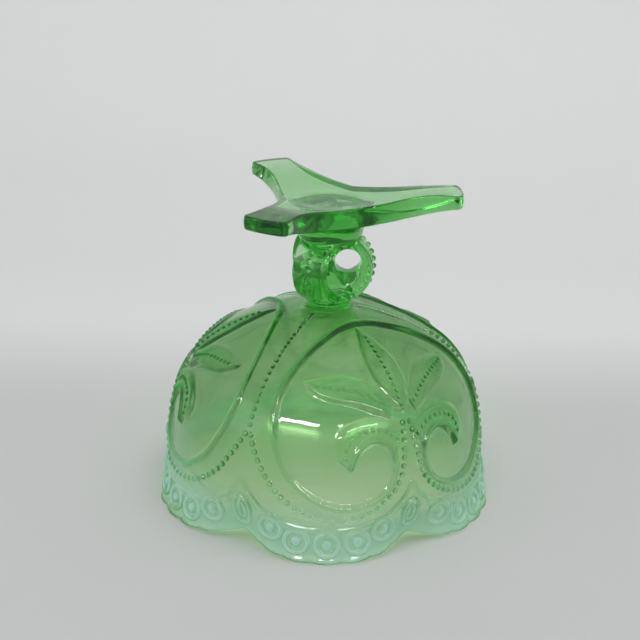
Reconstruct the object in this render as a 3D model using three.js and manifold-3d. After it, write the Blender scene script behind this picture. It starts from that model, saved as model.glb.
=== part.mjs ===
// Footed pressed-glass candy dish, standing on its scalloped rim with its three-armed foot on top.
// Millimetres, +Z up, origin on the axis at the level the rim rests on.

import * as THREE from 'three';
import { mergeVertices } from 'three/addons/utils/BufferGeometryUtils.js';
import Module from 'manifold-3d';

const wasm = await Module();
wasm.setup();

// ---- driving dimensions ----
const TURN = 2 * Math.PI;
const DEG = Math.PI / 180;
const GAP = 0.3; // clearance between neighbouring pieces

const PANELS = 3; // foot arms, stem loops and bowl panels
const LOBES = 6; // rim lobes
const SCALLOPS = 5; // small scallops along each rim lobe

const LIP_WALL = 3; // glass thickness at the lip
const CROWN_WALL = 6.2; // glass thickness at the crown
const THIN_BELOW = 25; // the wall keeps its lip thickness up to this height
const DOME_TOP = 84.6; // height of the bowl's flat crown, under the neck
const CROWN_RADIUS = 12.4;
const BORDER_TOP = 19; // where the opalescent border meets the plain bowl
const NOTCH_LIFT = 5; // how far the lip rises between lobes
const NOTCH_DRAW = 10.5; // how far the lip draws in between lobes
const NOTCH_WIDTH = 10.8 * DEG; // half the width of a notch
const SCALLOP_SWEEP = 47 * DEG; // angle that one lobe's scallops share
const SCALLOP_DEPTH = 1.1;

const BOSS_RADIUS = 4.3; // middle of a boss's raised ring
const BOSS_RING = 1; // height of the ring, and half its width
const CORD_RADIUS = 1.3; // raised cord round each panel's medallion

const NECK_TOP = 86.6;
const NECK_WAIST = 9.6;
const LOOP_START = 10.8; // distance from the axis where the loops leave the core
const LOOP_TOP = 117.2; // level at which the core flares out to the foot
const STEM_TOP = 123.3;

const LOOP_CENTRE = new THREE.Vector2(3.2, 103.2); // distance from the axis, height
const LOOP_RADIUS = 16;
const LOOP_WIDTH = 16.8;
const TUNNEL_CENTRE = new THREE.Vector2(7.9, 105.5); // of the opening through a loop
const TUNNEL_HALF_WIDTH = 5.7;
const TUNNEL_HALF_HEIGHT = 4.9;
const TUNNEL_END = 4.4; // how far from the loop's own plane the opening starts to flare
const LIP_GROWTH = new THREE.Vector2(4, 7.6); // how much wider and higher it is at the loop's faces
const LIP_DROP = 3; // and how much lower its middle is there
const BEAD_RADIUS = 1.5;
const BEAD_STEP = 12 * DEG;
const LOOP_BEADS = 9;
const LOWEST_BEAD = -54 * DEG;

const FOOT_HEIGHT = 137; // the ground face, and the height of the whole dish
const ARM_REACH = 54.6;
const ARM_HALF_WIDTH = 9.6;
const WAIST_RADIUS = 22.3; // from the axis to the hollow sides between arms
const TIP_CORNER = 2.2;

// Outside of the bowl from the crown to the border, as radius and height.
const BOWL_OUTSIDE = [
  [CROWN_RADIUS, DOME_TOP], [22, 82.2], [33, 78], [41, 74.2], [49.5, 69], [56, 63.2],
  [61.5, 55.5], [65.4, 47], [67.9, 38], [69.6, 29], [71, BORDER_TOP],
];
// Outside of the border from the bowl down to the lip at the middle of a lobe.
const BORDER_OUTSIDE = [[71, BORDER_TOP], [72, 14], [73.2, 9], [74.9, 4.5], [77.1, 1.3]];

// Bosses on each lobe of the border, as degrees from the lobe's middle and height.
const BOSSES = [[-18.6, 11.3], [-9.8, 8.3], [0, 7.6], [9.8, 8.3], [18.6, 11.3]];
// The medallion's cord over half a panel, as degrees from the panel's middle and height.
const CORD_PATH = [
  [-4, 82.4], [0, 82.5], [15, 82.1], [28, 80.8], [40, 78], [47.5, 73.3], [50.8, 67], [51.3, 59],
  [49.8, 50], [47.2, 43], [43.6, 36], [38.2, 29.8], [31.5, 25], [25.3, 23.2], [19.5, 23.4],
  [13.8, 25.7], [9, 30.3], [6.4, 36.5], [6.2, 42.3], [8.2, 47], [13, 49.7], [17.6, 48.2], [20.6, 44.5],
];

// ---- materials ----
const GREEN_GLASS = { color: 0x6fb56a, roughness: 0.08, metalness: 0 };
const STEM_GLASS = { color: 0x3f9a3f, roughness: 0.06, metalness: 0 };
const OPAL_GLASS = { color: 0xa9d6c0, roughness: 0.12, metalness: 0 };

// ---- solids ----

/** A manifold solid with the shape of a closed three.js geometry. */
function solidOf(geometry) {
  const bare = geometry.index ? geometry.clone() : geometry;
  bare.deleteAttribute('normal');
  bare.deleteAttribute('uv');
  const merged = mergeVertices(bare, 1e-4);
  const vertProperties = Float32Array.from(merged.attributes.position.array);
  const corners = merged.index.array;
  const triVerts = [];
  for (let i = 0; i < corners.length; i += 3) {
    const [a, b, c] = [corners[i], corners[i + 1], corners[i + 2]];
    if (a !== b && b !== c && c !== a) triVerts.push(a, b, c);
  }
  if (signedVolume(vertProperties, triVerts) < 0) {
    for (let i = 0; i < triVerts.length; i += 3) {
      [triVerts[i], triVerts[i + 1]] = [triVerts[i + 1], triVerts[i]];
    }
  }
  const mesh = { numProp: 3, vertProperties, triVerts: Uint32Array.from(triVerts) };
  return new wasm.Manifold(new wasm.Mesh(mesh));
}

function signedVolume(positions, triangles) {
  const point = (i) => new THREE.Vector3().fromArray(positions, 3 * i);
  let volume = 0;
  for (let i = 0; i < triangles.length; i += 3) {
    const [a, b, c] = [point(triangles[i]), point(triangles[i + 1]), point(triangles[i + 2])];
    volume += a.dot(b.cross(c)) / 6;
  }
  return volume;
}

function geometryOf(solid) {
  const mesh = solid.getMesh();
  const geometry = new THREE.BufferGeometry();
  geometry.setAttribute('position', new THREE.BufferAttribute(mesh.vertProperties, 3));
  geometry.setIndex(new THREE.BufferAttribute(mesh.triVerts, 1));
  geometry.computeVertexNormals();
  return geometry;
}

function part(name, solid, look) {
  const mesh = new THREE.Mesh(geometryOf(solid), new THREE.MeshStandardMaterial(look));
  mesh.name = name;
  return mesh;
}

/** Turns a closed profile of [radius, height] points about the Z axis. */
function turned(profile, segments) {
  const points = profile.map(([r, z]) => new THREE.Vector2(r, z));
  return new THREE.LatheGeometry(points, segments).rotateX(Math.PI / 2);
}

/** Evenly spaced [radius, height] points along a smooth curve through the given ones. */
function smooth(points, divisions) {
  const curve = new THREE.SplineCurve(points.map(([x, y]) => new THREE.Vector2(x, y)));
  return curve.getSpacedPoints(divisions).map((p) => [p.x, p.y]);
}

/** Radius at a height of an outer side that runs downwards as [radius, height] points. */
function radiusAt(outside, height) {
  const i = Math.max(1, outside.findIndex(([, z]) => z <= height));
  const [[upperRadius, upper], [lowerRadius, lower]] = [outside[i - 1], outside[i]];
  return THREE.MathUtils.mapLinear(height, lower, upper, lowerRadius, upperRadius);
}

/** Thickness of the bowl's wall at a height. */
function wallAt(height) {
  return LIP_WALL + (CROWN_WALL - LIP_WALL) * THREE.MathUtils.smoothstep(height, THIN_BELOW, DOME_TOP);
}

/** The inner side of a wall, given its outer side from the crown down as [radius, height] points. */
function innerSide(points) {
  return points.map(([x, y], i) => {
    const [ax, ay] = points[Math.max(i - 1, 0)];
    const [bx, by] = points[Math.min(i + 1, points.length - 1)];
    const depth = wallAt(y) / Math.hypot(bx - ax, by - ay);
    return [x + depth * (by - ay), y - depth * (bx - ax)];
  });
}

// ---- bowl ----

/** A tube along a path, drawn to a point at both ends. */
function pointedTube(path, segments, radius, sides) {
  const tube = new THREE.TubeGeometry(path, segments, radius, sides);
  const lastRing = segments * (sides + 1);
  for (let j = 0; j <= sides; j++) {
    tube.attributes.position.setXYZ(j, ...path.getPointAt(0));
    tube.attributes.position.setXYZ(lastRing + j, ...path.getPointAt(1));
  }
  return solidOf(tube);
}

/** The raised cord along one half of a panel's medallion, sunk half its depth into the bowl. */
function cord(outside, side) {
  const points = CORD_PATH.map(([degrees, height]) => {
    const angle = Math.PI / PANELS + side * degrees * DEG;
    const radius = radiusAt(outside, height) - 0.3;
    return new THREE.Vector3(radius * Math.cos(angle), radius * Math.sin(angle), height);
  });
  return pointedTube(new THREE.CatmullRomCurve3(points), 36, CORD_RADIUS, 4);
}

/** The domed green bowl, standing on the border, with a medallion's cord on each panel. */
function bowl() {
  const outside = smooth(BOWL_OUTSIDE, 12);
  outside[outside.length - 1][1] = BORDER_TOP + GAP;
  const inside = innerSide(outside).filter((_, i) => i % 2 === 0).slice(1).reverse();
  inside[0][1] = BORDER_TOP + GAP;
  const profile = [[0, DOME_TOP], ...outside, ...inside, [0, DOME_TOP - CROWN_WALL]];
  let solid = solidOf(turned(profile, 60));
  for (const side of [1, -1]) {
    for (const half of atEachArm(cord(outside, side))) solid = solid.add(half);
  }
  return solid;
}

/** How much of a notch there is at an angle: 1 midway between two lobes, 0 on a lobe. */
function notchShare(angle) {
  const lobe = TURN / LOBES;
  const away = Math.abs(angle - lobe * Math.round(angle / lobe));
  return Math.exp(-((away / NOTCH_WIDTH) ** 1.6));
}

/** How far the lip draws in at an angle for the small scallops along a lobe. */
function scallopDip(angle) {
  const lobe = TURN / LOBES;
  const along = angle - lobe * Math.floor(angle / lobe) - lobe / 2;
  if (Math.abs(along) > SCALLOP_SWEEP / 2) return 0;
  const phase = (along / SCALLOP_SWEEP) * SCALLOPS * Math.PI;
  return SCALLOP_DEPTH * (1 - Math.abs(Math.cos(phase)));
}

/** Moves a point of the plain border with the rim's notches and scallops. */
function waved(point) {
  const angle = Math.atan2(point.y, point.x);
  const down = Math.max(0, 1 - point.z / BORDER_TOP);
  const notch = notchShare(angle);
  const drawn = NOTCH_DRAW * notch * down ** 1.35 + scallopDip(angle) * down ** 6;
  const radius = Math.hypot(point.x, point.y) - drawn;
  return point.set(radius * Math.cos(angle), radius * Math.sin(angle), point.z + NOTCH_LIFT * notch * down);
}

/** A raised ring round a low dome, its axis along Z. */
function boss() {
  const sunk = -0.6;
  const ring = [[BOSS_RADIUS + BOSS_RING, sunk], [BOSS_RADIUS, BOSS_RING], [BOSS_RADIUS - BOSS_RING, 0.15]];
  return turned([[0, sunk], ...ring, [2, 0.15], [0, 1.3]], 10);
}

/** A boss laid on the border's outer side, at an angle and height given for the plain border. */
function bossOn(outside, angle, height) {
  const at = (turn, rise) => {
    const radius = radiusAt(outside, height + rise);
    const [x, y] = [radius * Math.cos(angle + turn), radius * Math.sin(angle + turn)];
    return waved(new THREE.Vector3(x, y, height + rise));
  };
  const sideways = at(DEG, 0).sub(at(-DEG, 0));
  const upwards = at(0, 1).sub(at(0, -1));
  const facing = sideways.cross(upwards).normalize();
  const tilt = new THREE.Quaternion().setFromUnitVectors(new THREE.Vector3(0, 0, 1), facing);
  return solidOf(boss().applyQuaternion(tilt).translate(...at(0, 0)));
}

/** The opalescent border: a ring whose lip lifts and draws in at each notch, with bosses on its lobes. */
function rimBorder() {
  const outside = smooth(BORDER_OUTSIDE, 4);
  const inside = innerSide(outside).filter((_, i) => i % 2 === 0).slice(0, -1).reverse();
  inside[inside.length - 1][1] = BORDER_TOP;
  const profile = [...outside, [77.3, 0.4], [76.6, 0], [75, 0], ...inside, outside[0]];
  const geometry = turned(profile, 120);
  const position = geometry.attributes.position;
  const point = new THREE.Vector3();
  for (let i = 0; i < position.count; i++) {
    waved(point.fromBufferAttribute(position, i)).toArray(position.array, 3 * i);
  }
  let solid = solidOf(geometry);
  for (let lobe = 0; lobe < LOBES; lobe++) {
    const middle = ((lobe + 0.5) * TURN) / LOBES;
    for (const [degrees, height] of BOSSES) {
      solid = solid.add(bossOn(outside, middle + degrees * DEG, height));
    }
  }
  return solid;
}

// ---- neck and stem ----

function neck() {
  const foot = DOME_TOP + GAP;
  const middle = (foot + NECK_TOP) / 2;
  const side = [[CROWN_RADIUS, foot], [NECK_WAIST + 0.5, middle - 0.4], [NECK_WAIST, middle + 0.2]];
  return solidOf(turned([[0, foot], ...side, [NECK_WAIST + 0.6, NECK_TOP], [0, NECK_TOP]], 36));
}

/** A half disc standing across an arm, its edge crowned: the bent outer face of one loop. */
function loopDisc() {
  const half = LOOP_WIDTH / 2;
  const edge = [[LOOP_RADIUS - 2.2, half], [LOOP_RADIUS - 1.3, half - 0.7], [LOOP_RADIUS - 0.2, 3]];
  const otherEdge = edge.map(([r, t]) => [r, -t]).reverse();
  const disc = turned([[0, half], ...edge, ...otherEdge, [0, -half]], 36);
  disc.rotateX(Math.PI / 2).translate(LOOP_CENTRE.x, 0, LOOP_CENTRE.y);
  return solidOf(disc).intersect(block(0, 2 * LOOP_RADIUS, 80, 130));
}

/** The opening through one loop: a short oval tunnel that flares towards both faces. */
function loopHole() {
  const face = LOOP_WIDTH / 2;
  const stations = [-12, -face, -7.2, -5.8, -TUNNEL_END, TUNNEL_END, 5.8, 7.2, face, 12];
  const hole = turned([[0, -12], ...stations.map((t) => [1, t]), [0, 12]], 20).rotateX(Math.PI / 2);
  const position = hole.attributes.position;
  for (let i = 0; i < position.count; i++) {
    const t = Math.abs(position.getY(i));
    const flare = THREE.MathUtils.clamp((t - TUNNEL_END) / (face - TUNNEL_END), 0, 1.1);
    const x = TUNNEL_CENTRE.x + position.getX(i) * (TUNNEL_HALF_WIDTH + LIP_GROWTH.x * flare ** 1.7);
    const middle = TUNNEL_CENTRE.y - LIP_DROP * flare;
    const z = middle + position.getZ(i) * (TUNNEL_HALF_HEIGHT + LIP_GROWTH.y * flare);
    position.setXYZ(i, x, position.getY(i), z);
  }
  return solidOf(hole);
}

/** An upright block reaching out along an arm between two distances and two heights. */
function block(near, far, low, high) {
  const box = new THREE.BoxGeometry(far - near, 60, high - low);
  return solidOf(box.translate((near + far) / 2, 0, (low + high) / 2));
}

/** The same solid at every arm. */
function atEachArm(solid) {
  return Array.from({ length: PANELS }, (_, k) => solid.rotate([0, 0, (k * 360) / PANELS]));
}

/** The middle of the stem: a rounded cup, slender ribs between the openings and a flared top. */
function stemCore() {
  const bottom = NECK_TOP + GAP;
  const cup = [[0, bottom], [9.2, bottom], [LOOP_START - 0.4, 88.2], [LOOP_START, 90], [9, 97], [0, 97]];
  const flare = [[LOOP_START, LOOP_TOP], [12.4, 119.6], [15.4, STEM_TOP]];
  const collar = [[0, 108], [8, 108], ...flare, [0, STEM_TOP]];
  let solid = solidOf(turned(cup, 30)).add(solidOf(turned(collar, 30)));
  for (const disc of atEachArm(loopDisc())) solid = solid.add(disc);
  for (const end of atEachArm(block(LOOP_START, 40, 80, LOOP_TOP - 0.1))) solid = solid.subtract(end);
  for (const hole of atEachArm(loopHole())) solid = solid.subtract(hole);
  return solid;
}

/** A broad band bent like a handle, with a row of beads down the middle of its outer face. */
function stemLoop() {
  let solid = loopDisc().subtract(loopHole()).intersect(block(LOOP_START + GAP, 40, 80, 130));
  for (let i = 0; i < LOOP_BEADS; i++) {
    const angle = LOWEST_BEAD + i * BEAD_STEP;
    const reach = LOOP_RADIUS - 0.2;
    const [x, z] = [LOOP_CENTRE.x + reach * Math.cos(angle), LOOP_CENTRE.y + reach * Math.sin(angle)];
    solid = solid.add(solidOf(new THREE.SphereGeometry(BEAD_RADIUS, 6, 4).translate(x, 0, z)));
  }
  return solid;
}

// ---- foot ----

/** Three blunt arms with hollow circular sides between them. */
function footOutline() {
  const corner = new THREE.Vector2(ARM_REACH, ARM_HALF_WIDTH);
  const cornerAngle = corner.angle() - Math.PI / PANELS;
  const along = corner.length() * Math.cos(cornerAngle) - WAIST_RADIUS;
  const across = corner.length() * Math.sin(cornerAngle);
  const radius = (along ** 2 + across ** 2) / (2 * along);
  const spread = Math.asin(-across / radius);
  const rounding = TIP_CORNER / radius;
  const shape = new THREE.Shape();
  for (let k = 0; k < PANELS; k++) {
    const arm = (k * TURN) / PANELS;
    const side = arm + Math.PI / PANELS;
    const centre = new THREE.Vector2(WAIST_RADIUS + radius, 0).rotateAround(new THREE.Vector2(), side);
    const at = (x, y) => new THREE.Vector2(x, y).rotateAround(new THREE.Vector2(), arm);
    const lower = at(ARM_REACH, -ARM_HALF_WIDTH);
    const upper = at(ARM_REACH, ARM_HALF_WIDTH);
    const tipStart = at(ARM_REACH + 0.1, TIP_CORNER - ARM_HALF_WIDTH);
    const tipMiddle = at(ARM_REACH + 0.9, 0);
    const tipEnd = at(ARM_REACH + 0.1, ARM_HALF_WIDTH - TIP_CORNER);
    if (k > 0) shape.quadraticCurveTo(lower.x, lower.y, tipStart.x, tipStart.y);
    else shape.moveTo(tipStart.x, tipStart.y);
    shape.quadraticCurveTo(tipMiddle.x, tipMiddle.y, tipEnd.x, tipEnd.y);
    const facing = side + Math.PI;
    const from = facing + spread - rounding;
    const to = facing - spread + rounding;
    const arcStart = new THREE.Vector2(radius, 0).rotateAround(new THREE.Vector2(), from).add(centre);
    shape.quadraticCurveTo(upper.x, upper.y, arcStart.x, arcStart.y);
    shape.absarc(centre.x, centre.y, radius, from, to, from > to);
  }
  const close = new THREE.Vector2(ARM_REACH, -ARM_HALF_WIDTH);
  shape.quadraticCurveTo(close.x, close.y, ARM_REACH + 0.1, TIP_CORNER - ARM_HALF_WIDTH);
  return shape;
}

/** The foot: a plate cupped towards its middle, level at the arm tips, where the dish stands. */
function foot() {
  const plate = new THREE.ExtrudeGeometry(footOutline(), {
    depth: 30, curveSegments: 8, bevelEnabled: false,
  });
  plate.translate(0, 0, FOOT_HEIGHT - 25);
  const ground = [[0, 131.6], [14, 132], [22, 132.9], [30, 134.8], [38, 136.3], [46, FOOT_HEIGHT]];
  const underside = [[60, 132.2], [54, 131.6], [38, 128.2], [22, 124.9], [15.5, STEM_TOP + GAP]];
  const profile = [...ground, [60, FOOT_HEIGHT], ...underside, [0, STEM_TOP + GAP]];
  return solidOf(plate).intersect(solidOf(turned(profile, 48)));
}

// ---- assembly ----

const dish = new THREE.Group();
dish.add(part('rim_border', rimBorder(), OPAL_GLASS));
dish.add(part('bowl', bowl(), GREEN_GLASS));
dish.add(part('neck', neck(), STEM_GLASS));
dish.add(part('stem_core', stemCore(), STEM_GLASS));
for (let k = 0; k < PANELS; k++) {
  const loop = part(`stem_loop_${k + 1}`, stemLoop(), STEM_GLASS);
  loop.rotation.z = (k * TURN) / PANELS;
  dish.add(loop);
}
dish.add(part('foot', foot(), STEM_GLASS));

export default dish;
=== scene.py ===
"""Footed candy dish of green pressed glass with an opalescent border, upside down on its scalloped rim."""

import math

import bpy
import numpy as np
from mathutils import Matrix


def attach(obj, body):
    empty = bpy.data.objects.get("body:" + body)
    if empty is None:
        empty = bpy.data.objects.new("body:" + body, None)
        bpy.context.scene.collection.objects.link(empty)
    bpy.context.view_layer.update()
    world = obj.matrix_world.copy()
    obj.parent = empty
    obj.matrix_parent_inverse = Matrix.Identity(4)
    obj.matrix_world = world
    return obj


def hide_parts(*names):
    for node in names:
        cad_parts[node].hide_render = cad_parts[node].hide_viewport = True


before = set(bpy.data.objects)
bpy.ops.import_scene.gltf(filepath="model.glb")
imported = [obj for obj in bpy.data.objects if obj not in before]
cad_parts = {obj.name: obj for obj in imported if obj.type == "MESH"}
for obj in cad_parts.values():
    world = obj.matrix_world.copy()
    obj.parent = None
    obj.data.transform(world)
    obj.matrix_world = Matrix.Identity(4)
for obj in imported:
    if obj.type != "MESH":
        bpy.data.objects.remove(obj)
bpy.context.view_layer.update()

# Lengths are in mm and angles in degrees unless a comment says otherwise.
MM = 0.001
PANEL = 120  # one foot arm, one stem loop and one bowl panel each
LOBE = 60  # one lobe of the rim
COLUMNS = 960  # around the bowl's outside
INNER_COLUMNS = 320  # around the bowl's smooth inside
ROW_STEP = 0.5  # along the bowl's outside

LIP_WALL = 2.8
CROWN_WALL = 6.2
THIN_BELOW = 25  # height up to which the wall is as thin as the lip
CROWN_Z = 84.7  # top of the bowl's plain outside
WAVES_END = 28.0  # height by which the rim's waves have faded out
NOTCH_LIFT = 5.0
LIFT_WIDTH = 12
NOTCH_DRAW = 10.5  # how far a notch is drawn in
DRAW_WIDTH = 10.8
SCALLOP_SWEEP = 9.4
SCALLOP_DRAW = 1.1
SCALLOPED_HALF = 24  # half of the part of a lobe that is scalloped
SCALLOPS_END = 11  # height by which the small scallops have faded out

RIDGE = (1.0, 1.35)  # height and half width of a medallion's frame
BORDER_RIDGE = (0.8, 1.1)
PANEL_SUNK = 0.5  # depth of a medallion's field
LEAF_RISE = 1.05  # height of leaves, petals and curls
LEAF_EDGE = 2.3  # width over which they rise
BEAD_OUT = 0.4  # how far a bead's middle stands out of the wall
BEAD_FLATNESS = 0.75
FULLY_PROUD = 1.15  # a surface this far out of the wall gets the full relief green: partly thicker glass, partly painted shade

# Outside of the bowl from its crown to the lip at the middle of a lobe: radius and height.
BOWL_PROFILE = [
    (0, CROWN_Z), (6, CROWN_Z), (12, 84.3), (17, 83.4), (22, 82.1), (33, 78.2), (41, 74.5), (49.5, 69.4),
    (56, 63.8), (62, 55.8), (65.8, 47.6), (68.2, 40), (69.6, 32), (70.9, 24), (72.3, 16), (73.8, 9),
    (75.5, 4), (77.3, 1.3),
]

# Rounding of the lip at the middle of a lobe, from its outer to its inner edge.
LIP_PROFILE = [(77.5, 0.75), (77.25, 0.3), (76.7, 0.04), (75.9, 0.0), (75.2, 0.15), (74.6, 0.6)]

# Pattern of half a panel, as (degrees from the panel's middle, height). The other half mirrors it.
BEAD_SPINE_TOP = [(60, 84), (60, 82), (60, 79), (60, 74.5)]
BEAD_SPINE = [(60, 73.2), (60, 67), (60, 59), (60, 52.5)]
BEAD_BRANCH = [
    (58.9, 48.8), (57, 44.5), (54, 38.5), (50.2, 31.8), (45.2, 26), (39.3, 21.4), (33, 18.9), (26, 18),
    (18.5, 19), (12, 22.7), (7, 28.5), (4, 35), (2.9, 41.5), (2.2, 48), (1.6, 54.5),
]
MEDALLION = [
    (0, 82.5), (15, 82.1), (28, 80.8), (40, 78.0), (47.5, 73.3), (50.8, 67), (51.3, 59), (49.8, 50),
    (47.2, 43), (43.6, 36), (38.2, 29.8), (31.5, 25), (25.3, 23.2), (19.5, 23.4), (13.8, 25.7),
    (9, 30.3), (6.4, 36.5), (6.2, 42.3), (8.2, 47), (13, 49.7), (17.6, 48.2), (20.6, 44.5), (22.4, 39.6),
]
CURL_OUTSIDE = [
    (1.5, 54.6), (6.6, 56), (11.5, 57), (17, 57), (23, 55.2), (26.7, 52), (28, 48), (26.8, 43.5),
    (22.6, 39.4),
]
CURL_BEADS = [(4.5, 49.5), (9, 52.6), (15, 53.6), (20.4, 52.1), (23.8, 48.4), (24.4, 43.8)]
LEAF_UPPER = [(4.2, 62.6), (10.5, 67.2), (17.5, 69.9), (25, 70.7), (33, 70.1), (41.6, 69)]
LEAF_LOWER = [(6, 56.8), (13.5, 60.6), (20, 62.6), (27, 63.8), (33, 65), (37.5, 66.6), (41.6, 69)]
LEAF_BEADS = [(6.5, 61), (12, 64), (18, 66), (24, 67.1), (30, 67.6), (35.5, 68)]
PETAL_EDGE = [(2.2, 60), (5, 65), (7.4, 69.5), (8.4, 74), (6.5, 78), (0, 81.6)]
PETAL_BEADS = [(0, 58.5), (0, 63), (0, 68), (0, 74), (0, 79.3)]
BORDER_LINE = [
    (0, 31), (1.8, 27.5), (4.6, 22.2), (9.5, 17.2), (18, 14.2), (30, 13.4), (42, 14.2), (50.5, 17.2),
    (55.4, 22.2), (58.2, 27.5), (60, 31),
]
BOSSES = [(0, 7.6), (9.8, 8.3), (18.6, 11.3)]  # degrees from the lobe's middle, height
BOSS_OUT = 0.1  # how far a boss's middle stands out of the wall
BOSS_RING = (4.8, 4.8, 1.1)  # half width, half height, thickness
BOSS_DOME = (2.3, 1.5)  # radius, height
CARTOUCHE_Z = 13.6  # middle of the double oval over each notch
CARTOUCHE = [(0.5, 3.8, 7.2, 0.95), (0.1, 1.6, 4.0, 0.75)]  # depth, half width, half height, thickness

# Neck, rounded cup and flare of the stem: radius and height.
NECK_PROFILE = [
    (0, 84.75), (11.8, 84.75), (11.6, 84.95), (10.2, 85.15), (9.5, 85.5), (9.3, 86), (9.3, 88.5), (0, 88.5),
]
CUP_PROFILE = [
    (0, 87.2), (9.6, 87.2), (10.6, 87.6), (11.5, 88.8), (12.0, 91), (11, 94.5), (8, 98), (0, 98),
]
FLARE_PROFILE = [
    (0, 107), (7, 107), (10.6, 110), (13, 114), (13.9, 117.5), (14.5, 120.3), (15.4, 122.0), (17.4, 123.6),
    (20, 124.8), (0, 124.8),
]
LOOP_CENTRE = np.array([3.2, 0, 103.2])  # of the loop along +X
LOOP_REACH = 16  # from that centre to the middle of the loop's outer face
LOOP_HALF = 8.4  # half a loop's width
STRAIGHT_HALF = 3.8  # half the length over which a loop's opening runs straight
POCKET_MIDDLE = (7.9, 105.5)  # of that opening in the loop's own plane: distance from the axis, height
POCKET_HALF = (5.7, 5.4)  # half width and half height there
POCKET_SHIFT = (-0.15, -3.0)  # how far the middle moves from there to the loop's faces
POCKET_GROWTH = (4.0, 7.1)  # how far the half width and half height grow
LOOP_BEADS = 10
LOWEST_LOOP_BEAD = -62
LOOP_BEAD_STEP = 12
LOOP_BEAD_RADIUS = 1.45
LOOP_BEAD_SUNK = 0.2
LOOP_BEADS_END = 116  # height above the highest bead
SKIN_VOXEL = 0.34  # size of the cells that the stem's bodies are melted together with

# Foot: half of one arm's outline as (x, y), and the height of both faces over the distance from the axis.
HALF_ARM = [
    (55.9, 0), (55.7, 4), (55.1, 7.6), (54.2, 9.2), (52.4, 9.7), (47, 9.1), (40, 9.1), (33, 10.1),
    (27, 11.9), (22, 13.6), (17, 15.4), (10.2, 17.7),
]
FOOT_TOP = [
    (0, 132.4), (14, 132.7), (20, 133.4), (25, 134.2), (30, 135.2), (35, 136.1), (40, 136.7), (46, 137),
    (60, 137),
]
FOOT_UNDER = [
    (0, 123.6), (15, 123.6), (16.5, 123.8), (19, 124.4), (24, 125.4), (30, 126.4), (38, 128.0),
    (46, 129.8), (52, 130.9), (60, 131.7),
]
FOOT_ROUNDING = [(1.1, 0.0), (0.7, 0.03), (0.4, 0.14), (0.18, 0.34), (0.04, 0.62), (0, 1.0)]  # inset, drop
FOOT_BULGE = 0.25  # of the foot's side

# Looks, with heights in metres.
CLEAR_ROUGHNESS = 0.025
GLASS_IOR = 1.5
MILK_REACH = 0.1  # height that the stops below run over
MILK = [  # share of MILK_REACH, milkiness
    (0.0, 0.22), (0.03, 0.40), (0.07, 0.88), (0.12, 0.90), (0.17, 0.64), (0.23, 0.30), (0.31, 0.10),
    (0.42, 0.02), (1.0, 0.0),
]


# ---------------------------------------------------------------- meshes

def smooth_curve(points, step):
    """A Catmull-Rom curve through points, resampled about every step along it."""
    p = np.array(points, float)
    ends = np.vstack([2 * p[0] - p[1], p, 2 * p[-1] - p[-2]])
    out = []
    for i in range(1, len(ends) - 2):
        a, b, c, d = ends[i - 1:i + 3]
        t = np.linspace(0, 1, 24, endpoint=False)[:, None]
        out.append(0.5 * (2 * b + (c - a) * t + (2 * a - 5 * b + 4 * c - d) * t**2
                          + (3 * b - a - 3 * c + d) * t**3))
    dense = np.vstack(out + [p[-1:]])
    length = np.r_[0, np.cumsum(np.linalg.norm(np.diff(dense, axis=0), axis=1))]
    at = np.linspace(0, length[-1], max(2, round(length[-1] / step) + 1))
    return np.stack([np.interp(at, length, dense[:, k]) for k in range(dense.shape[1])], 1)


def volume_of(points, faces):
    """Signed volume of a closed mesh of triangles and quads."""
    total = 0.0
    for n in (3, 4):
        f = np.array([q for q in faces if len(q) == n])
        for k in range(n - 2):
            if len(f):
                a, b, c = points[f[:, 0]], points[f[:, k + 1]], points[f[:, k + 2]]
                total += np.einsum("ij,ij->i", a, np.cross(b, c)).sum() / 6
    return total


def outward(points, faces):
    """Faces turned, if need be, so that a closed body faces outwards."""
    faces = [tuple(int(i) for i in f) for f in faces]
    return [f[::-1] for f in faces] if volume_of(points, faces) < 0 else faces


def mesh_object(name, points, faces):
    """A closed, outward-facing, smooth-shaded mesh."""
    points = np.asarray(points, float)
    faces = outward(points, faces)
    mesh = bpy.data.meshes.new(name)
    mesh.from_pydata(points.tolist(), [], faces)
    mesh.shade_smooth()
    obj = bpy.data.objects.new(name, mesh)
    bpy.context.scene.collection.objects.link(obj)
    return obj


def ring_faces(first, second, count):
    """Quads between two closed rings of count points each, whose points start at first and second."""
    j = np.arange(count)
    k = (j + 1) % count
    return np.stack([first + j, second + j, second + k, first + k], 1).tolist()


def turned(profile, segments):
    """Points and faces of a profile of (radius, height) turned about Z; it starts and ends on the axis."""
    angle = np.linspace(0, 2 * np.pi, segments, endpoint=False)
    rings = []
    for r, z in profile[1:-1]:
        rings.append(np.column_stack([r * np.cos(angle), r * np.sin(angle), np.full(segments, float(z))]))
    ends = [[0, 0, profile[0][1]], [0, 0, profile[-1][1]]]
    points = np.vstack(rings + [ends])
    faces = []
    for i in range(len(rings) - 1):
        faces += ring_faces(i * segments, (i + 1) * segments, segments)
    start, end = len(points) - 2, len(points) - 1
    last = (len(rings) - 1) * segments
    for j in range(segments):
        k = (j + 1) % segments
        faces.append((start, j, k))
        faces.append((end, last + k, last + j))
    return points, faces


def baked(obj):
    """The same object with its modifiers applied."""
    depsgraph = bpy.context.evaluated_depsgraph_get()
    mesh = bpy.data.meshes.new_from_object(obj.evaluated_get(depsgraph), depsgraph=depsgraph)
    obj.modifiers.clear()
    old = obj.data
    obj.data = mesh
    bpy.data.meshes.remove(old)
    mesh.shade_smooth()
    return obj


def combine(obj, tool, operation):
    """Joins a tool's body to an object or cuts it away, and removes the tool."""
    mod = obj.modifiers.new("join", "BOOLEAN")
    mod.operation = operation
    mod.solver = "MANIFOLD"
    mod.object = tool
    baked(obj)
    bpy.data.objects.remove(tool)
    return obj


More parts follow.
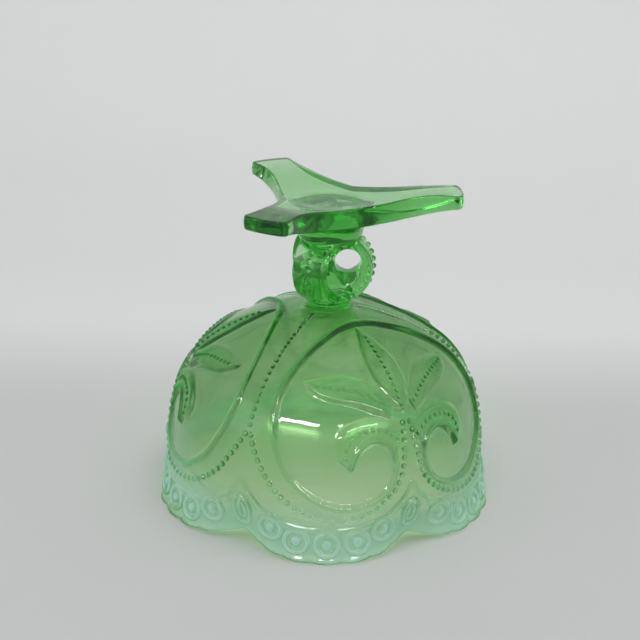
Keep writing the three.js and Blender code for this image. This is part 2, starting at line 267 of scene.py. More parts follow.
def many(name, pieces):
    """One object from several separate (points, faces) bodies."""
    points, faces, start = [], [], 0
    for p, f in pieces:
        points.append(p)
        faces += [tuple(i + start for i in q) for q in outward(p, f)]
        start += len(p)
    return mesh_object(name, np.vstack(points), faces)


def frame_at(normal):
    """Three axes with the third along normal and the second as upright as it can be."""
    n = normal / np.linalg.norm(normal)
    side = np.cross([0, 0, 1], n)
    side = side / np.linalg.norm(side)
    return side, np.cross(n, side), n


def dome(centre, normal, radius, height=None):
    """A low bead: a ball, or a ball flattened to height, standing on a surface."""
    side, up, n = frame_at(normal)
    height = height or radius
    section = [(math.sin(t) * radius, math.cos(t) * height) for t in np.linspace(0, math.pi, 7)]
    p, f = turned(section, 10)
    return centre + p[:, :1] * side + p[:, 1:2] * up + p[:, 2:] * n, f


def hoop(centre, normal, half_width, half_height, thickness):
    """An oval ring lying on a surface."""
    around, across = 28, 8
    side, up, n = frame_at(normal)
    t = np.linspace(0, 2 * np.pi, around, endpoint=False)
    rows = []
    for q in np.linspace(0, 2 * np.pi, across, endpoint=False):
        grow = thickness * math.cos(q)
        wide = np.outer((half_width + grow) * np.cos(t), side)
        high = np.outer((half_height + grow) * np.sin(t), up)
        rows.append(wide + high + thickness * math.sin(q) * n)
    faces = []
    for i in range(across):
        faces += ring_faces(i * around, (i + 1) % across * around, around)
    return centre + np.vstack(rows), faces


# ---------------------------------------------------------------- bowl and border

profile = smooth_curve(BOWL_PROFILE, 0.25)
profile_s = np.r_[0, np.cumsum(np.linalg.norm(np.diff(profile, axis=0), axis=1))]
tangent = np.gradient(profile, axis=0)
tangent /= np.linalg.norm(tangent, axis=1)[:, None]
profile_normal = np.stack([-tangent[:, 1], tangent[:, 0]], 1)


def along(z):
    """Distance along the profile at a height."""
    return np.interp(-np.asarray(z, float), -profile[:, 1], profile_s)


def on_profile(s, table):
    """A value that is tabled along the profile, at distance s along it."""
    return np.interp(s, profile_s, table)


def notch_lift(phi, z):
    """How far the wall rises at and near a notch of the rim."""
    notch = phi - LOBE * np.round(phi / LOBE)
    return NOTCH_LIFT * np.exp(-((np.abs(notch) / LIFT_WIDTH) ** 1.3)) * np.clip(1 - z / WAVES_END, 0, 1)


def rim_draw(phi, z):
    """How far the wall is drawn in between the rim's lobes and between its small scallops."""
    share = np.clip(1 - z / WAVES_END, 0, 1)
    notch = phi - LOBE * np.round(phi / LOBE)
    lobe = phi - LOBE / 2 - LOBE * np.round((phi - LOBE / 2) / LOBE)
    draw = NOTCH_DRAW * np.exp(-((np.abs(notch) / DRAW_WIDTH) ** 1.7)) * share**1.6
    scallop = 1 - np.abs(np.cos(np.radians(lobe / SCALLOP_SWEEP * 180)))
    inside_lobe = np.clip((SCALLOPED_HALF - np.abs(lobe)) / 3, 0, 1)
    return draw + SCALLOP_DRAW * scallop * inside_lobe * np.clip(1 - z / SCALLOPS_END, 0, 1) ** 2


def rim_waves(phi, r, z):
    """Moves a point of the plain wall with the rim's lobes, notches and small scallops."""
    return r - rim_draw(phi, z), z + notch_lift(phi, z)


def without_waves(points):
    """Radius and height that points of the bowl would have if its rim were plain."""
    phi = np.degrees(np.arctan2(points[:, 1], points[:, 0]))
    z = points[:, 2]
    for _ in range(8):
        z = points[:, 2] - notch_lift(phi, z)
    return np.hypot(points[:, 0], points[:, 1]) + rim_draw(phi, z), z


def wall_thickness(s):
    """Thin at the lip and thicker towards the crown."""
    thick_from = CROWN_Z - 0.1
    share = np.clip((on_profile(s, profile[:, 1]) - THIN_BELOW) / (thick_from - THIN_BELOW), 0, 1)
    return LIP_WALL + (CROWN_WALL - LIP_WALL) * share**2 * (3 - 2 * share)


def wall_point(phi, s, depth):
    """A point of the wall: angle phi, s along the outside, depth out of the plain surface."""
    r = on_profile(s, profile[:, 0]) + depth * on_profile(s, profile_normal[:, 0])
    z = on_profile(s, profile[:, 1]) + depth * on_profile(s, profile_normal[:, 1])
    r, z = rim_waves(phi, r, z)
    angle = np.radians(phi)
    return np.stack([r * np.cos(angle), r * np.sin(angle), z], -1)


def wall_normal(phi, s):
    """Which way the plain wall faces."""
    across = wall_point(phi + 0.5, s, 0.0) - wall_point(phi - 0.5, s, 0.0)
    down = wall_point(phi, s + 0.4, 0.0) - wall_point(phi, s - 0.4, 0.0)
    n = np.cross(down, across)
    return n / np.linalg.norm(n)


def pattern_curve(points, step=1.2):
    """A curve of the pattern as (degrees, distance along the profile), evenly spaced on the glass."""
    p = np.array(points, float)
    s = along(p[:, 1])
    r = on_profile(s, profile[:, 0])
    flat = smooth_curve(np.stack([p[:, 0], s], 1), 0.4)
    radius = on_profile(flat[:, 1], profile[:, 0])
    step_size = np.hypot(np.radians(np.diff(flat[:, 0])) * radius[1:], np.diff(flat[:, 1]))
    length = np.r_[0, np.cumsum(step_size)]
    at = np.linspace(0, length[-1], max(2, round(length[-1] / step) + 1))
    return np.stack([np.interp(at, length, flat[:, k]) for k in (0, 1)], 1)


def distance_to(curve, a, s, r):
    """Distance on the glass from points (a, s), where the bowl has radius r, to a pattern curve."""
    best = np.full(a.shape, 1e9)
    x = np.radians(a) * r
    tiny = 1e-9
    for (a0, s0), (a1, s1) in zip(curve[:-1], curve[1:]):
        x0, x1 = np.radians(a0) * r, np.radians(a1) * r
        dx, dy = x1 - x0, s1 - s0
        t = np.clip(((x - x0) * dx + (s - s0) * dy) / (dx * dx + dy * dy + tiny), 0, 1)
        ex, ey = x - x0 - t * dx, s - s0 - t * dy
        best = np.minimum(best, np.hypot(ex, ey))
    return best


def inside(outline, a, s):
    """Which points (a, s) lie inside a closed outline."""
    result = np.zeros(a.shape, bool)
    for (a0, s0), (a1, s1) in zip(outline, np.roll(outline, -1, axis=0)):
        crosses = (s0 > s) != (s1 > s)
        result ^= crosses & (a < (a1 - a0) * (s - s0) / (s1 - s0 + 1e-12) + a0)
    return result


def rounded_ridge(distance, height, half_width):
    """Height of a ridge of half-oval section at a distance from its middle line."""
    return height * np.sqrt(np.clip(1 - (distance / half_width) ** 2, 0, 1))


def relief(a, s):
    """Height of the moulded pattern over the plain wall, for half a panel."""
    r = np.maximum(on_profile(s, profile[:, 0]), 3)
    medallion = pattern_curve(MEDALLION)
    from_frame = distance_to(medallion, a, s, r)
    frame_part = medallion[:len(medallion) * 78 // 100]  # the rest of the curve is the curled tail
    field = np.vstack([frame_part, [[0, frame_part[-1, 1]], [0, frame_part[0, 1]]]])
    sunk = -PANEL_SUNK * np.clip(from_frame / 1.4, 0, 1)
    swollen = 0.3 * np.clip(1 - from_frame / 9, 0, 1)
    h = np.where(inside(field, a, s), sunk, swollen)

    tail = medallion[len(medallion) * 84 // 100:][::-1]
    leaf = [pattern_curve(LEAF_UPPER), pattern_curve(LEAF_LOWER)[::-1]]
    petal = [pattern_curve(PETAL_EDGE)]
    curl = [pattern_curve(CURL_OUTSIDE), tail]
    for edges in (leaf, petal, curl):
        d = np.minimum.reduce([distance_to(edge, a, s, r) for edge in edges])
        closing = [[[0, along(60)]]] if edges is petal else []
        outline = np.vstack(edges + closing)
        signed = np.where(inside(outline, a, s), d, -d)
        rise = np.clip((signed + 0.5) / LEAF_EDGE, 0, 1)
        h += LEAF_RISE * np.sqrt(rise * (2 - rise))

    from_border = distance_to(pattern_curve(BORDER_LINE), a, s, r)
    return h + np.maximum(rounded_ridge(from_frame, *RIDGE), rounded_ridge(from_border, *BORDER_RIDGE))


def blurred(h):
    """Softens the steps of the pattern a little, as fire-polished glass does."""
    for _ in range(2):
        h = (np.vstack([h[:1], h[:-1]]) + 2 * h + np.vstack([h[1:], h[-1:]])) / 4
        h = (np.hstack([h[:, 1:2], h[:, :-1]]) + 2 * h + np.hstack([h[:, 1:], h[:, -2:-1]])) / 4
    return h


def folded(phi):
    """Angle from the middle of the nearest panel, 0 to 60."""
    away = (np.asarray(phi, float) - PANEL / 2) % PANEL
    return np.minimum(away, PANEL - away)


def beads_along(points, pitch, radius, on_axis=None):
    """(degrees, distance along the profile, radius) of a row of beads on half a panel."""
    return [(a if on_axis is None else on_axis, s, radius) for a, s in pattern_curve(points, pitch)]


def half_panel_beads():
    """Every row of beads on half a panel; the numbers are the pitch, the beads' radius and a fixed angle."""
    rows = beads_along(BEAD_SPINE_TOP, 2.5, 0.85, 60)
    rows += beads_along(BEAD_SPINE, 3.2, 1.0, 60)
    rows += beads_along(BEAD_BRANCH, 3.5, 1.3)
    rows += beads_along(PETAL_BEADS, 2.8, 1.0, 0)
    rows += beads_along(LEAF_BEADS, 2.8, 0.95)
    rows += beads_along(CURL_BEADS, 2.9, 1.05)
    return rows


def copies(a):
    """Every angle round the bowl at which a half-panel feature at angle a repeats."""
    for middle in range(PANEL // 2, 360, PANEL):
        yield middle + a
        on_seam = a < 0.01 or a > PANEL / 2 - 0.01
        if not on_seam:
            yield middle - a


def store(obj, name, values):
    """Keeps one number per point for the material to read."""
    obj.data.attributes.new(name, "FLOAT", "POINT").data.foreach_set("value", values.astype(float))


def mark_surface(bowl):
    """Stores for every point whether it looks into the bowl, and how proud of the plain wall it stands."""
    count = len(bowl.data.vertices)
    flat, normals = np.empty(count * 3), np.empty(count * 3)
    bowl.data.vertices.foreach_get("co", flat)
    bowl.data.vertex_normals.foreach_get("vector", normals)
    points = flat.reshape(-1, 3)
    in_bowl = [0, 0, 20]
    looks_in = ((points - in_bowl) * normals.reshape(-1, 3)).sum(1) < 0
    store(bowl, "looks_in", looks_in)

    # The wall's distance from a point low on the axis, against the direction it is seen in from there.
    low_z = 5
    above = profile[:, 1] - low_z
    angle, reach = np.arctan2(above, profile[:, 0]), np.hypot(above, profile[:, 0])
    r, z = without_waves(points)
    plain = np.interp(np.arctan2(z - low_z, r), angle[::-1], reach[::-1])
    off_lip = np.clip((z - 2.5) / 2, 0, 1)
    proud = (np.hypot(z - low_z, r) - plain) * off_lip * ~looks_in
    store(bowl, "proud", np.clip(proud / FULLY_PROUD, 0, 1))


def outer_rings():
    """Rings of the outside with its relief, from the crown to the lip and round under it."""
    rows = np.arange(2.0, profile_s[-1], ROW_STEP)
    half = np.arange(0, PANEL / 2 + 0.001, 360 / COLUMNS)
    grid_a, grid_s = np.meshgrid(half, rows)
    half_relief = blurred(relief(grid_a, grid_s))
    phi = np.arange(COLUMNS) * 360 / COLUMNS
    columns = np.round(folded(phi) * COLUMNS / 360).astype(int)
    fade = np.clip((rows - 9) / 6, 0, 1)[:, None]  # no relief under the stem
    rings = list(wall_point(phi[None, :], rows[:, None], half_relief[:, columns] * fade))
    for lip_r, lip_z in LIP_PROFILE:
        r, z = rim_waves(phi, np.full(COLUMNS, lip_r), np.full(COLUMNS, lip_z))
        rings.append(np.stack([r * np.cos(np.radians(phi)), r * np.sin(np.radians(phi)), z], 1))
    return rings


def inner_rings():
    """Rings of the smooth inside, from the lip to the crown."""
    phi = np.arange(INNER_COLUMNS) * 360 / INNER_COLUMNS
    from_lip, from_crown, count = 2.2, 3.0, 62
    rows = np.linspace(profile_s[-1] - from_lip, from_crown, count)
    return [wall_point(phi, np.full(INNER_COLUMNS, s), -wall_thickness(s)) for s in rows]


def bowl_wall():
    """The bowl with its border as one closed body, without beads, bosses and cartouches."""
    outer, inner = outer_rings(), inner_rings()
    faces = []
    for i in range(len(outer) - 1):
        faces += ring_faces(i * COLUMNS, (i + 1) * COLUMNS, COLUMNS)
    start = len(outer) * COLUMNS
    lip = start - COLUMNS
    ratio = COLUMNS // INNER_COLUMNS
    for k in range(INNER_COLUMNS):
        a, b = start + k, start + (k + 1) % INNER_COLUMNS
        o = [lip + (ratio * k + q) % COLUMNS for q in range(ratio + 1)]
        faces += [(o[0], a, o[1]), (o[1], a, b), (o[1], b, o[2]), (o[2], b, o[3])]
    for i in range(len(inner) - 1):
        faces += ring_faces(start + i * INNER_COLUMNS, start + (i + 1) * INNER_COLUMNS, INNER_COLUMNS)
    poles = [[0, 0, CROWN_Z], [0, 0, CROWN_Z - wall_thickness(0)]]
    points = np.vstack(outer + inner + [poles])
    top, bottom = len(points) - 2, len(points) - 1
    crown = bottom - 1 - INNER_COLUMNS
    faces += [(top, j, (j + 1) % COLUMNS) for j in range(COLUMNS)]
    faces += [(bottom, crown + (j + 1) % INNER_COLUMNS, crown + j) for j in range(INNER_COLUMNS)]
    return mesh_object("bowl_glass", points, faces)


def small_details():
    """Beads on the panels, ring bosses on the lobes and a double oval over each notch."""
    details = []
    for a, s, radius in half_panel_beads():
        for phi in copies(a):
            centre = wall_point(phi, s, BEAD_OUT)
            details.append(dome(centre, wall_normal(phi, s), radius, BEAD_FLATNESS * radius))
    for lobe in range(LOBE // 2, 360, LOBE):
        for away, z in BOSSES:
            for side in ((0,) if away == 0 else (-1, 1)):
                phi, s = lobe + side * away, along(z)
                n = wall_normal(phi, s)
                centre = wall_point(phi, s, BOSS_OUT)
                details.append(hoop(centre, n, *BOSS_RING))
                details.append(dome(centre, n, *BOSS_DOME))
    for notch in range(0, 360, LOBE):
        s = along(CARTOUCHE_Z)
        n = wall_normal(notch, s)
        for depth, *size in CARTOUCHE:
            details.append(hoop(wall_point(notch, s, depth), n, *size))
    return many("details", details)


def build_bowl():
    """The bowl and its border with every moulded detail."""
    bowl = bowl_wall()
    combine(bowl, small_details(), "UNION")
    mark_surface(bowl)
    return bowl


# ---------------------------------------------------------------- neck, stem and foot

def spun(points, degrees):
    """Points turned about the dish's axis."""
    c, s = math.cos(math.radians(degrees)), math.sin(math.radians(degrees))
    x, y, z = points.T
    return np.stack([x * c - y * s, x * s + y * c, z], 1)


def loop_disc():
    """The solid disc of one loop, standing on edge along X, before its pocket is cut."""
    half = LOOP_HALF
    edge = [(13.4, half), (14.6, half - 0.15), (15.3, half - 0.9), (15.8, 4), (LOOP_REACH, 0)]
    other_edge = [(r, -t) for r, t in edge[-2::-1]]
    p, f = turned([(0, half)] + edge + other_edge + [(0, -half)], 96)
    p = p[:, [0, 2, 1]] + LOOP_CENTRE
    p[:, 0] = np.maximum(p[:, 0], -1.0)
    return p, f


def pocket_section(t):
    """Middle (x, z), half width and half height of a loop's opening at distance t from the loop's plane."""
    flare = np.clip((np.abs(t) - STRAIGHT_HALF) / (LOOP_HALF - STRAIGHT_HALF), 0, 1.1)
    x, z = (middle + shift * flare for middle, shift in zip(POCKET_MIDDLE, POCKET_SHIFT))
    half_width = POCKET_HALF[0] + POCKET_GROWTH[0] * flare**1.7
    half_height = POCKET_HALF[1] + POCKET_GROWTH[1] * flare
    return x, z, half_width, half_height


def loop_pocket():
    """The opening of one loop: a short oval tunnel that flares out to an oval lip on both faces."""
    sides = 72
    around = np.linspace(0, 2 * np.pi, sides, endpoint=False)
    rings = []
    for t in np.r_[-12.5, -LOOP_HALF:LOOP_HALF:17j, 12.5]:
        x, z, half_width, half_height = pocket_section(t)
        across, up = half_width * np.cos(around), half_height * np.sin(around)
        rings.append(np.stack([x + across, np.full(sides, t), z + up], 1))
    ends = [rings[0].mean(0), rings[-1].mean(0)]
    faces = []
    for i in range(len(rings) - 1):
        faces += ring_faces(i * sides, (i + 1) * sides, sides)
    first, last, far = sides * len(rings), sides * len(rings) + 1, sides * (len(rings) - 1)
    for j in range(sides):
        k = (j + 1) % sides
        faces += [(first, j, k), (last, far + k, far + j)]
    return np.vstack(rings + [ends]), faces


def mark_stem(stem):
    """Stores for every point whether it is on the wall of a loop's opening, and how far up a bead it is."""
    count = len(stem.data.vertices)
    flat = np.empty(count * 3)
    stem.data.vertices.foreach_get("co", flat)
    on_wall = np.zeros(count, bool)
    proud = np.zeros(count)
    for k in range(3):
        p = spun(flat.reshape(-1, 3), -k * PANEL)
        x, z, half_width, half_height = pocket_section(p[:, 1])
        ellipse = ((p[:, 0] - x) / (half_width + 0.5)) ** 2 + ((p[:, 2] - z) / (half_height + 0.5)) ** 2
        on_wall |= (ellipse < 1) & (np.abs(p[:, 1]) < LOOP_HALF - 1)
        out = np.hypot(p[:, 0] - LOOP_CENTRE[0], p[:, 2] - LOOP_CENTRE[2]) - LOOP_REACH
        on_bead = (np.abs(p[:, 1]) < 1.6) & (p[:, 0] > LOOP_CENTRE[0]) & (p[:, 2] < LOOP_BEADS_END)
        proud = np.maximum(proud, on_bead * np.clip(out / 0.6, 0, 1))
    store(stem, "looks_in", on_wall)
    store(stem, "proud", proud)


def loop_beads():
    """The row of beads along the outer edge of each loop."""
    beads = []
    for k in range(3):
        for i in range(LOOP_BEADS):
            angle = math.radians(LOWEST_LOOP_BEAD + LOOP_BEAD_STEP * i)
            out = np.array([math.cos(angle), 0, math.sin(angle)])
            p, f = dome(LOOP_CENTRE + (LOOP_REACH - LOOP_BEAD_SUNK) * out, out, LOOP_BEAD_RADIUS)
            beads.append((spun(p, k * PANEL), f))
    return many("loop_beads", beads)


def build_stem():
    """Three open loops round a slender middle, with neck and cup below and a flare and the foot above."""
    stem = mesh_object("stem_and_foot_glass", *turned(CUP_PROFILE, 72))
    combine(stem, mesh_object("neck", *turned(NECK_PROFILE, 72)), "UNION")
    combine(stem, mesh_object("flare", *turned(FLARE_PROFILE, 72)), "UNION")
    for body, operation in ((loop_disc, "UNION"), (loop_pocket, "DIFFERENCE")):
        for k in range(3):
            p, f = body()
            combine(stem, mesh_object(body.__name__, spun(p, k * PANEL), f), operation)
    skin = stem.modifiers.new("skin", "REMESH")
    skin.mode = "VOXEL"
    skin.voxel_size = SKIN_VOXEL
    soften = stem.modifiers.new("soften", "SMOOTH")
    soften.factor = 0.5
    soften.iterations = 6
    baked(stem)
    combine(stem, loop_beads(), "UNION")
    combine(stem, build_foot(), "UNION")
    mark_stem(stem)
    return stem


def foot_outline():
    """Outline of the foot: three blunt arms with hollow sides, as (x, y)."""
    half_arm = smooth_curve(HALF_ARM, 0.7)
    arm = np.vstack([half_arm[1:][::-1] * [1, -1], half_arm])
    arm = np.column_stack([arm, np.zeros(len(arm))])
    return np.vstack([spun(arm, k * PANEL)[:-1, :2] for k in range(3)])


def foot_top(r):
    """Height of the ground face, dished towards the middle."""
    return np.interp(r, *zip(*FOOT_TOP))


def foot_under(r):
    """Height of the face that the stem runs into."""
    return np.interp(r, *zip(*FOOT_UNDER))


def foot_rings():
    """Rings of the foot from the middle of its ground face, over the side, to the middle of the other."""
    outline = foot_outline()
    step = np.roll(outline, -1, axis=0) - np.roll(outline, 1, axis=0)
    away = np.stack([step[:, 1], -step[:, 0]], 1) / np.linalg.norm(step, axis=1)[:, None]

    def at(xy, level):
        return np.column_stack([xy, level(np.hypot(xy[:, 0], xy[:, 1]))])

    edge = outline - away * FOOT_ROUNDING[0][0]
    shares = np.linspace(0.02, 0.97, 44)
    rings = [at(edge * share, foot_top) for share in shares]
    for inset, drop in FOOT_ROUNDING:
        rings.append(at(outline - away * inset, lambda r, d=drop: foot_top(r) - d))
    low_side, high_side = lambda r: foot_under(r) + 1, lambda r: foot_top(r) - 1
    for share in (0.25, 0.5, 0.75):
        xy = outline + away * FOOT_BULGE * math.sin(math.pi * share)
        rings.append(at(xy, lambda r, q=share: high_side(r) * (1 - q) + low_side(r) * q))
    for inset, rise in FOOT_ROUNDING[::-1]:
        rings.append(at(outline - away * inset, lambda r, d=rise: foot_under(r) + d))
    return rings + [at(edge * share, foot_under) for share in shares[::-1]]


def build_foot():
    """The foot as one closed body."""
    rings = foot_rings()
    n = len(rings[0])
    poles = [[0, 0, foot_top(0)], [0, 0, foot_under(0)]]
    points = np.vstack(rings + [poles])
    faces = []
    for i in range(len(rings) - 1):
        faces += ring_faces(i * n, (i + 1) * n, n)
    top, bottom = len(points) - 2, len(points) - 1
    last = (len(rings) - 1) * n
    faces += [(top, j, (j + 1) % n) for j in range(n)]
    faces += [(bottom, last + (j + 1) % n, last + j) for j in range(n)]
    return mesh_object("foot", points, faces)


# ---------------------------------------------------------------- materials

def add(tree, kind, inputs=None, **settings):
    """A new node with its properties set; each input is given a value or linked to another node's output."""
    node = tree.nodes.new("ShaderNode" + kind)
    for name, value in settings.items():
        setattr(node, name, value)
    for name, value in (inputs or {}).items():
        if isinstance(value, bpy.types.NodeSocket):
            tree.links.new(value, node.inputs[name])
        else:
            node.inputs[name].default_value = value
    return node


def remap(tree, value, low, high, to_low=0.0, to_high=1.0):
    """value with the range low to high moved to to_low to to_high, and kept within it."""
    ranges = {"Value": value, "From Min": low, "From Max": high, "To Min": to_low, "To Max": to_high}
    return add(tree, "MapRange", ranges).outputs["Result"]


def scaled(tree, value, factor, plus=0.0, clamp=False):
    """value x factor + plus, where each may be a number or another node's output."""
    terms = {0: value, 1: factor, 2: plus}
    return add(tree, "Math", terms, operation="MULTIPLY_ADD", use_clamp=clamp).outputs[0]


def mixed_colours(tree, share, first, second):
    return add(tree, "Mix", {0: share, 6: first, 7: second}, data_type="RGBA").outputs[2]


def mixed_shaders(tree, share, first, second):
    return add(tree, "MixShader", {0: share, 1: first, 2: second}).outputs["Shader"]


def stored(tree, name):
    """The number that store() has kept for each point."""
    return add(tree, "Attribute", attribute_name=name).outputs["Fac"]


def noise(tree, place, scale, detail):
    return add(tree, "TexNoise", {"Vector": place, "Scale": scale, "Detail": detail}).outputs["Fac"]


def milk_share(tree, place, height, slant, proud):
    """How milky the border is: most just above the lip, fading out up the wall, stronger seen at a slant."""
    level = scaled(tree, slant, -0.013, height)
    level = scaled(tree, noise(tree, place, 22, 1), 0.012, level)
    ramp = add(tree, "ValToRGB", {"Fac": remap(tree, level, 0, MILK_REACH)})
    ramp.color_ramp.interpolation = "EASE"
    elements = ramp.color_ramp.elements
    elements[0].color = (MILK[0][1],) * 3 + (1,)
    elements[1].color = (MILK[-1][1],) * 3 + (1,)
    for position, value in MILK[1:-1]:
        elements.new(position).color = (value, value, value, 1)
    return scaled(tree, ramp.outputs["Color"], scaled(tree, proud, 0.4, 0.78), clamp=True)


def new_material(name):
    """A material with an empty node tree."""
    mat = bpy.data.materials.new(name)
    mat.use_nodes = True
    mat.node_tree.nodes.clear()
    return mat, mat.node_tree


def raised_green_and_shade(tree, surface, proud, slant):
    """Fills raised details that are seen at a slant with matt green: partly the deeper green of thick glass,
    partly painted shade where the relief bends light away.
    """
    deep = add(tree, "BsdfTranslucent", {"Color": (0.02, 0.70, 0.06, 1)}).outputs["BSDF"]
    flat = add(tree, "BsdfDiffuse", {"Color": (0.02, 0.52, 0.06, 1)}).outputs["BSDF"]
    share = scaled(tree, proud, remap(tree, slant, 0.35, 0.80, 0.0, 0.88))
    return mixed_shaders(tree, share, surface, mixed_shaders(tree, 0.5, deep, flat))


def milky(tree, surface, share, ripple):
    """Clouds the surface with opalescent white by share."""
    white = {"Base Color": (0.76, 0.96, 0.97, 1), "Roughness": 0.05, "Normal": ripple}
    white = add(tree, "BsdfPrincipled", white).outputs["BSDF"]
    glow = add(tree, "BsdfTranslucent", {"Color": (0.76, 0.97, 0.97, 1)}).outputs["BSDF"]
    return mixed_shaders(tree, share, surface, mixed_shaders(tree, 0.5, white, glow))


def glass(name, tones, absorb, density, inner_roughness, opal=False):
    """Green pressed glass: clear and slightly wavy, its colour taken up along the light's way through it.

    tones holds two (height in metres, colour) pairs that the surface's tint runs between; on the bowl that
    tint is painted light and shade.
    """
    mat, tree = new_material(name)
    place = add(tree, "TexCoord").outputs["Object"]
    height = add(tree, "SeparateXYZ", {"Vector": place}).outputs["Z"]
    ripple = add(tree, "Bump", {"Height": noise(tree, place, 95, 2), "Strength": 0.35, "Distance": 0.0004})
    ripple = ripple.outputs["Normal"]
    (low, low_tone), (high, high_tone) = tones
    tone = mixed_colours(tree, remap(tree, height, low, high), low_tone, high_tone)
    proud = stored(tree, "proud")
    slant = add(tree, "LayerWeight", {"Blend": 0.5}).outputs["Facing"]
    # Raised relief is tinted deeper green, the more at a slant: partly the deeper green of thicker glass,
    # partly painted shade where the relief bends light away.
    relief_green_and_shade = scaled(tree, proud, remap(tree, slant, 0.25, 0.75, 0.3, 1.0))
    relief_green_and_shade = scaled(tree, relief_green_and_shade, remap(tree, height, 0.014, 0.034, 0.3, 1.0))
    tone = mixed_colours(tree, relief_green_and_shade, tone, (0.07, 0.52, 0.07, 1))
    roughness = remap(tree, stored(tree, "looks_in"), 0, 1, CLEAR_ROUGHNESS, inner_roughness)
    body = {"Base Color": tone, "Roughness": roughness, "IOR": GLASS_IOR, "Transmission Weight": 1.0}
    body = add(tree, "BsdfPrincipled", body | {"Normal": ripple})
    surface = body.outputs["BSDF"]
    if opal:
        # Raised details get matt green, partly painted shade.
        surface = raised_green_and_shade(tree, surface, proud, slant)
        surface = milky(tree, surface, milk_share(tree, place, height, slant, proud), ripple)

    in_shadow = add(tree, "LightPath").outputs["Is Shadow Ray"]
    through = add(tree, "BsdfTransparent", {"Color": (0.98, 0.92, 0.93, 1)}).outputs["BSDF"]
    tint = add(tree, "VolumeAbsorption", {"Color": absorb, "Density": density}).outputs["Volume"]
    lit = mixed_shaders(tree, in_shadow, surface, through)
    add(tree, "OutputMaterial", {"Surface": lit, "Volume": tint})
    return mat


def paper(name, near, far):
    """Matt grey paper with painted light and shade: near is its brightness under the dish, far behind it,
    and it rises on from there, for how the light falls on floor and backdrop.
    """
    mat, tree = new_material(name)
    place = add(tree, "TexCoord").outputs["Object"]
    away = add(tree, "SeparateXYZ", {"Vector": place}).outputs["Y"]
    # Painted light and shade: darker under the dish, lighter behind it and lighter still further back.
    spread = {"Value": away, "From Min": 0.06, "From Max": 0.20, "To Min": near, "To Max": far}
    shade = add(tree, "MapRange", spread, interpolation_type="SMOOTHSTEP").outputs["Result"]
    shade = scaled(tree, remap(tree, away, 0.3, 0.85), 0.14, shade)
    body = add(tree, "BsdfPrincipled", {"Base Color": shade, "Roughness": 0.75, "Specular IOR Level": 0.2})
    add(tree, "OutputMaterial", {"Surface": body.outputs["BSDF"]})
    return mat


# ---------------------------------------------------------------- assembly

def place(obj, nodes, material, slot):
    """Brings a piece to metres, gives it its material and hides the CAD nodes it stands for."""
    obj.data.transform(Matrix.Scale(MM, 4))
    obj.data.update()
    obj.data.materials.clear()
    obj.data.materials.append(material)
    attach(obj, "root")
    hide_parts(*nodes)


# Painted light and shade: the bowl's tint is paler and less green near the lip and darker towards the crown,
# standing in for the light and shade seen through the glass.
bowl_shade_tones = ((0.018, (1.0, 0.86, 0.93, 1)), (0.057, (0.73, 0.80, 0.71, 1)))
stem_tones = ((0.120, (0.62, 0.84, 0.60, 1)), (0.127, (0.85, 0.95, 0.83, 1)))
bowl_mat = glass("green_glass_with_opal_border", bowl_shade_tones, (0.25, 0.76, 0.10, 1), 128, 0.16, opal=True)
stem_mat = glass("deep_green_glass", stem_tones, (0.22, 0.80, 0.18, 1), 95, 0.11)
stem_nodes = ["neck", "stem_core", "stem_loop_1", "stem_loop_2", "stem_loop_3", "foot"]
place(build_bowl(), ["bowl", "rim_border"], bowl_mat, "green_glass")
place(build_stem(), stem_nodes, stem_mat, "stem_glass")


# ---------------------------------------------------------------- stage, light and camera

def sweep(width, front, back, bend, height):
    """A floor that curves up into a backdrop."""
    section = [(front, 0.0)]
    for t in np.linspace(0, math.pi / 2, 16):
        section.append((back - bend + bend * math.sin(t), bend - bend * math.cos(t)))
    section.append((back, height))
    points = [(x, y, z) for y, z in section for x in (-width, width)]
    faces = [(2 * i, 2 * i + 1, 2 * i + 3, 2 * i + 2) for i in range(len(section) - 1)]
    mesh = bpy.data.meshes.new("backdrop")
    mesh.from_pydata(points, [], faces)
    mesh.shade_smooth()
    obj = bpy.data.objects.new("backdrop", mesh)
    bpy.context.scene.collection.objects.link(obj)
    obj.data.materials.append(paper("backdrop_paper_painted_light", 0.615, 0.79))


def axes_matrix(x, y, z, position):
    """The matrix with these three axes and this place."""
    m = Matrix.Identity(4)
    for i, column in enumerate((x, y, z, position)):
        for j in range(3):
            m[j][i] = column[j]
    return m


def lamp(name, position, target, size, power, diffuse=True, glossy=True):
    """A rectangular lamp; one without diffuse only makes highlights, one without glossy makes none."""
    data = bpy.data.lights.new(name, "AREA")
    data.shape = "RECTANGLE"
    data.size, data.size_y = size
    data.energy = power
    obj = bpy.data.objects.new(name, data)
    bpy.context.scene.collection.objects.link(obj)
    z = np.array(position, float) - np.array(target, float)
    z /= np.linalg.norm(z)
    x = np.cross([0, 0, 1], z)
    x /= np.linalg.norm(x)
    y = np.cross(z, x)
    obj.matrix_world = axes_matrix(x, y, z, position)
    obj.visible_diffuse = diffuse
    obj.visible_glossy = glossy


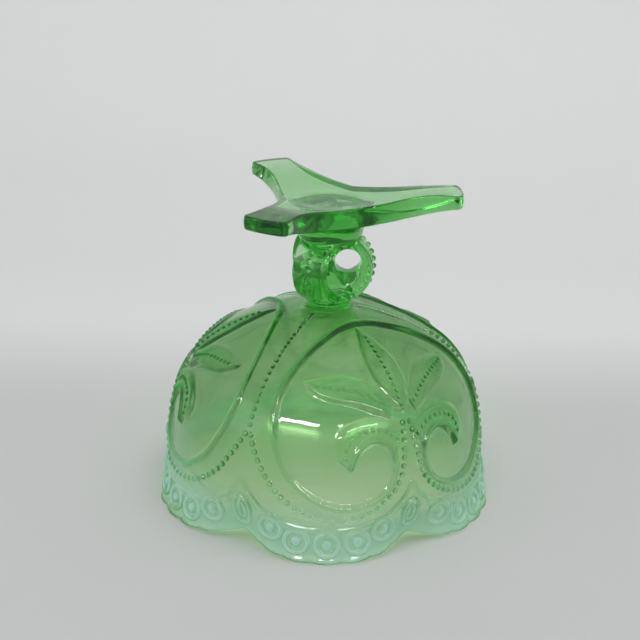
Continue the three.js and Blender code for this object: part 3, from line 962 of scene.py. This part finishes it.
def camera(distance, elevation, azimuth, roll, target_z, aside, lens):
    """A camera that looks at a point of the dish's axis, moved aside; lengths in metres, lens in mm."""
    e, a, t = (math.radians(v) for v in (elevation, azimuth, roll))
    back = np.array([math.sin(a) * math.cos(e), -math.cos(a) * math.cos(e), math.sin(e)])
    right = np.array([math.cos(a), math.sin(a), 0])
    up = np.cross(back, right)
    at = np.array([0, 0, target_z]) + right * aside + back * distance
    x = right * math.cos(t) + up * math.sin(t)
    y = up * math.cos(t) - right * math.sin(t)
    data = bpy.data.cameras.new("camera")
    data.sensor_width, data.lens = 36, lens
    data.clip_start, data.clip_end = 0.01, 20
    obj = bpy.data.objects.new("camera", data)
    bpy.context.scene.collection.objects.link(obj)
    obj.matrix_world = axes_matrix(x, y, back, at)
    bpy.context.scene.camera = obj


def room(dark, light):
    """Even light from all round, dark in front of the dish and light behind it."""
    world = bpy.data.worlds.new("room")
    world.use_nodes = True
    tree = world.node_tree
    direction = add(tree, "TexCoord").outputs["Generated"]
    depth = add(tree, "SeparateXYZ", {"Vector": direction}).outputs["Y"]
    sky = tree.nodes["Background"]
    sky.inputs["Color"].default_value = (0.98, 0.99, 1.0, 1)
    tree.links.new(remap(tree, depth, -1, 1, dark, light), sky.inputs["Strength"])
    bpy.context.scene.world = world


sweep(6.0, -7.0, 0.9, 0.35, 1.8)
lamp("soft_top", (0.1, -0.15, 1.15), (0, 0, 0.05), (1.3, 0.45), 5.5, glossy=False)
lamp("strip_left", (-0.51, -1.15, 0.97), (0, 0, 0.06), (0.8, 0.09), 8.5, diffuse=False)
lamp("strip_right", (0.55, -1.15, 0.97), (0, 0, 0.06), (0.8, 0.09), 5, diffuse=False)
lamp("left_fill", (-1.2, -0.5, 0.6), (0, 0, 0.06), (0.7, 0.7), 1.2)
room(0.42, 0.71)
bpy.context.scene.view_settings.view_transform = "Standard"
light_paths = bpy.context.scene.cycles  # light turns many times inside solid glass before it comes out
light_paths.max_bounces = 32
light_paths.glossy_bounces = 24
light_paths.transmission_bounces = 32
light_paths.transparent_max_bounces = 32
camera(0.530, 21.7, -1.38, 1.55, 0.0767, -0.00335, 67.5)
